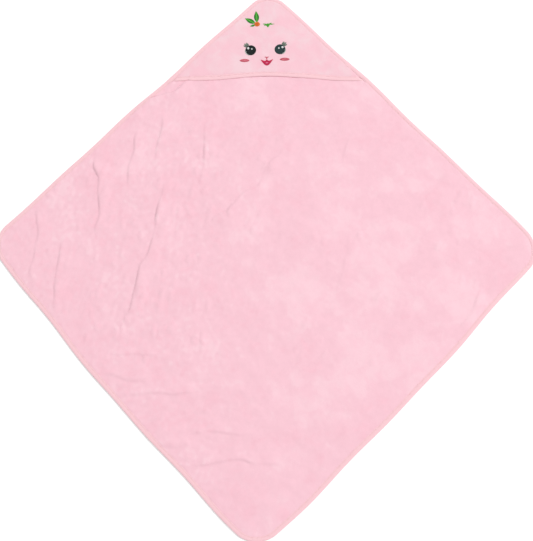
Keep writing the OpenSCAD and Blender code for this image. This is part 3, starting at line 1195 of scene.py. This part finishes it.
def terry_material():
    """Brushed terry: clumps of pile a few millimetres across, with painted shade in their hollows, and
    paler brushed patches, which also carry painted light, brighter towards the right.
    """
    material, tree, shader, place = start_material("brushed_terry", 0.95, 0.2, 0.6)
    nap_and_light = add(tree, "ShaderNodeAttribute", attribute_name="brushed").outputs["Fac"]
    ragged = noise(tree, place, 34.0, 6.0, 0.7, 0.5)
    uneven = maths(tree, "ADD", nap_and_light, maths(tree, "MULTIPLY", ragged, 3.6))
    # paler where the pile is brushed up and deeper pink where it lies down; the broad part of this is
    # painted light, paler to the right and deeper to the left
    pale, deep = ramp(tree, uneven, 1.9, 3.2), ramp(tree, uneven, 1.5, 0.2)
    colour = mix_colour(tree, pale, linear(252, 203, 215), linear(253, 210, 220))
    colour = mix_colour(tree, deep, colour, linear(252, 198, 211))
    clumps = noise(tree, place, 330.0, 3.0, 0.6)
    mottle = noise(tree, place, 75.0, 2.0, 0.5)
    # painted shade: up to 4% darker where the clumps' noise, which also gives the relief, is low, in
    # the hollows between clumps, mixed with random mottle; less of it on brushed pile
    shade = ramp(tree, maths(tree, "ADD", maths(tree, "MULTIPLY", clumps, 0.35), mottle), 0.35, 1.0)
    tone = mix_colour(tree, shade, grey(0.96), grey(1))
    calmer = maths(tree, "MULTIPLY", ramp(tree, nap_and_light, -0.2, 1.0), 0.7)
    colour = mix_colour(tree, maths(tree, "SUBTRACT", 1.0, calmer), colour, tone, "MULTIPLY")
    finish_material(tree, shader, colour, clumps, 0.8 * MM, 0.35)
    return material


def velour_material():
    """The hood's shorter, smoother pile."""
    material, tree, shader, place = start_material("smooth_velour", 0.9, 0.3, 0.4)
    brushed = ramp(tree, noise(tree, place, 22.0, 3.0, 0.6, 0.4), 0.35, 0.7)
    colour = mix_colour(tree, brushed, linear(249, 200, 211), linear(246, 211, 218))
    fibres = noise(tree, place, 700.0, 3.0, 0.7)
    finish_material(tree, shader, colour, fibres, 0.35 * MM, 0.5)
    return material


def tape_material():
    """Plain-woven bias tape: its threads run along X and Y, at 45 degrees to the edge."""
    material, tree, shader, place = start_material("bias_tape", 0.75, 0.15)
    weave = []
    for direction in ("X", "Y"):
        weave.append(add(tree, "ShaderNodeTexWave", {
            "Vector": place, "Scale": 520.0, "Distortion": 0.6, "Detail": 1.0,
        }, wave_type="BANDS", bands_direction=direction).outputs["Fac"])
    cloth = maths(tree, "MULTIPLY", *weave)
    faded = noise(tree, place, 60.0, 3.0)
    colour = mix_colour(tree, faded, linear(252, 204, 211), linear(253, 208, 215))
    finish_material(tree, shader, colour, maths(tree, "ADD", cloth, faded), 0.2 * MM, 0.4)
    return material


def thread_material(name, dark, light, gloss):
    """Shiny thread in two shades: strands that catch the light, with painted shade between them."""
    material, tree, shader, place = start_material(name, 0.5, 0.0)
    shader.inputs["Specular IOR Level"].default_value = gloss
    strands = noise(tree, place, 900.0, 2.0)
    tone = add(tree, "ShaderNodeAttribute", attribute_name="tone").outputs["Fac"]
    mixed = mix_colour(tree, tone, linear(*dark), linear(*light))
    # painted shade: up to 15% darker where the strands' noise, which also gives the relief, is low,
    # between the strands
    shade = mix_colour(tree, ramp(tree, strands, 0.3, 0.7), grey(0.85), grey(1))
    colour = mix_colour(tree, 1.0, mixed, shade, "MULTIPLY")
    finish_material(tree, shader, colour, strands, 0.1 * MM, 0.4)
    return material


def fleece_material():
    material, tree, shader, place = start_material("stabiliser_fleece", 0.85, 0.1)
    fibres = noise(tree, place, 500.0, 4.0, 0.7, 1.0)
    colour = mix_colour(tree, fibres, linear(236, 236, 234), linear(248, 248, 246))
    finish_material(tree, shader, colour, fibres, 0.2 * MM, 0.4)
    return material


def floor_material():
    material, tree, shader, place = start_material("pale_floor", 0.9, 0.0)
    colour = mix_colour(tree, noise(tree, place, 3.0), grey(0.95), grey(0.96))
    tree.links.new(colour, shader.inputs["Base Color"])
    return material


# ---- the stage ----

FLOOR_HALF = 40.0
# The floor lies this far below the origin, clear of the towel's under side
FLOOR_DROP = 0.2 * MM

CAMERA_LENS = 43.52
CAMERA_PLACE = (0.049, -0.364, 1.426)
CAMERA_TARGET = (0.008, -0.0565, 0.0)
# How far the camera leans about its own line of sight, in degrees
CAMERA_ROLL = 1.14

SURROUND_LIGHT = 0.86
KEY_LIGHT = 930
KEY_SIZE = 3.5
KEY_PLACE = (8.5, 5.0, 9.7)


def make_floor():
    corners = [(x * FLOOR_HALF, y * FLOOR_HALF, 0) for x, y in ((-1, -1), (1, -1), (1, 1), (-1, 1))]
    mesh = bpy.data.meshes.new("floor")
    mesh.from_pydata(corners, [], [(0, 1, 2, 3)])
    mesh.materials.append(floor_material())
    floor = add_object("floor", mesh)
    floor.location.z = -FLOOR_DROP
    return floor


def make_camera():
    """Almost straight above the towel, from a little below its middle."""
    data = bpy.data.cameras.new("camera")
    data.sensor_width = 36.0
    data.lens = CAMERA_LENS
    camera = add_object("camera", data)
    place, roll = Vector(CAMERA_PLACE), math.radians(CAMERA_ROLL)
    back = (place - Vector(CAMERA_TARGET)).normalized()
    right = Vector((0, 1, 0)).cross(back).normalized()
    up = back.cross(right)
    turned_right = right * math.cos(roll) + up * math.sin(roll)
    turned_up = up * math.cos(roll) - right * math.sin(roll)
    basis = Matrix((turned_right, turned_up, back)).transposed().to_4x4()
    camera.matrix_world = Matrix.Translation(place) @ basis
    bpy.context.scene.camera = camera


def make_lights():
    """A soft key from the right and a bright even surround."""
    world = bpy.data.worlds.new("studio")
    bpy.context.scene.world = world
    world.use_nodes = True
    background = world.node_tree.nodes["Background"]
    background.inputs["Color"].default_value = (1, 1, 1, 1)
    background.inputs["Strength"].default_value = SURROUND_LIGHT
    data = bpy.data.lights.new("key", "AREA")
    data.energy = KEY_LIGHT
    data.size = KEY_SIZE
    key = add_object("key", data)
    key.location = KEY_PLACE
    key.rotation_euler = key.location.to_track_quat("Z", "Y").to_euler()
    bpy.context.scene.view_settings.view_transform = "Standard"


# ---- everything together ----

# Each thread's darker and lighter shade, 0 to 255, and its gloss
THREADS = {
    "sewing_thread": ((250, 206, 210), (252, 214, 218), 0.2),
    "eye_thread": ((30, 34, 34), (52, 76, 78), 0.2),
    "highlight_thread": ((205, 216, 206), (250, 250, 248), 0.4),
    "lash_thread": ((108, 124, 112), (165, 172, 160), 0.25),
    "cheek_thread": ((218, 92, 112), (232, 132, 148), 0.4),
    "mouth_thread": ((214, 16, 80), (222, 50, 105), 0.4),
    "tongue_thread": ((240, 120, 160), (246, 150, 180), 0.4),
    "leaf_thread": ((36, 134, 42), (96, 200, 66), 0.25),
    "berry_thread": ((224, 98, 32), (250, 142, 50), 0.4),
}

make_camera()
make_lights()
floor = make_floor()

tape = tape_material()
looks = {name: thread_material(name, *shades) for name, shades in THREADS.items()}

terry_cloth = make_towel_cloth(terry_material())
edge_tape = make_edge_tape(tape)
hood_cloth = make_hood_cloth(velour_material())
hood_tape = make_hood_tape(tape)
edge_top, edge_under, hood_top_row, hood_under_row = make_seams(looks["sewing_thread"])
stabiliser = make_stabiliser(fleece_material())
face = make_eye(-1, "left", looks) + make_eye(1, "right", looks) + make_nose_and_mouth(looks)
leaves = make_leaves(looks)
